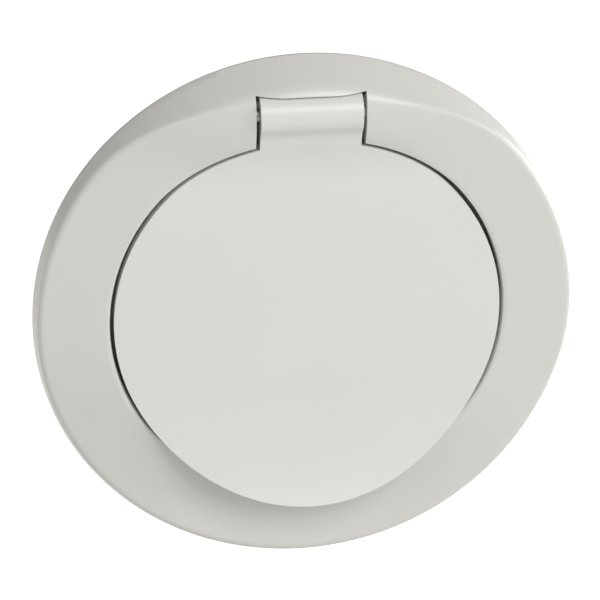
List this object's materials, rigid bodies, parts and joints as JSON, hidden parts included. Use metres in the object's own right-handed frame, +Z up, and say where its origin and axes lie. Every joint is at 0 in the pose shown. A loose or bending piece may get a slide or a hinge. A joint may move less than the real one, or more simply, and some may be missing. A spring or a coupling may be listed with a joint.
{
  "type": "hinged socket outlet cover",
  "caption": "Round white cover for a flush wall socket outlet, with a sprung lid hinged at the top and a shuttered plug recess behind it.",
  "frame": {"origin": "centre of the ring, in the plane of its back face, which rests on the wall plate", "axes": "+Z up towards the hinge, +Y into the wall, the lid faces -Y"},
  "size_m": [0.062, 0.0316, 0.062],
  "materials": {
    "cover_plastic": "satin warm white moulded plastic",
    "insert_plastic": "fine matt warm white moulded plastic",
    "shutter_plastic": "matt grey moulded plastic",
    "seal_rubber": "soft dark grey elastomer",
    "spring_steel": "bright drawn spring steel",
    "screw_steel": "zinc plated steel"
  },
  "bodies": {
    "cover": {"trim_ring": "cover_plastic", "socket_well": "insert_plastic", "well_snap_ring": "spring_steel", "retaining_clip_upper_right": "spring_steel", "retaining_clip_lower_right": "spring_steel", "retaining_clip_lower_left": "spring_steel", "retaining_clip_upper_left": "spring_steel", "shutter_carrier": "shutter_plastic", "shutter_spring_left": "spring_steel", "shutter_spring_right": "spring_steel", "carrier_screw_left": "screw_steel", "carrier_screw_right": "screw_steel", "carrier_screw_bottom": "screw_steel", "hinge_pin": "screw_steel", "hinge_spring": "spring_steel"},
    "lid": {"lid_shell": "cover_plastic", "lid_liner": "insert_plastic", "lid_gasket": "seal_rubber", "liner_screw_left": "screw_steel", "liner_screw_right": "screw_steel"},
    "shutter": {"shutter_slider": "shutter_plastic"}
  },
  "joints": [
    {"name": "lid_hinge", "type": "hinge", "parent": "cover", "child": "lid", "pos_m": [0, -0.0035, 0.0253], "axis": [-1, 0, 0], "range_deg": [0, 95], "stiffness_Nm_per_rad": 0.003, "springref_deg": -57.3},
    {"name": "shutter_slide", "type": "slide", "parent": "cover", "child": "shutter", "axis": [0, 0, -1], "range_m": [0, 0.0056], "stiffness_N_per_m": 60, "springref_m": -0.002, "deforming": ["shutter_spring_left", "shutter_spring_right"]}
  ]
}
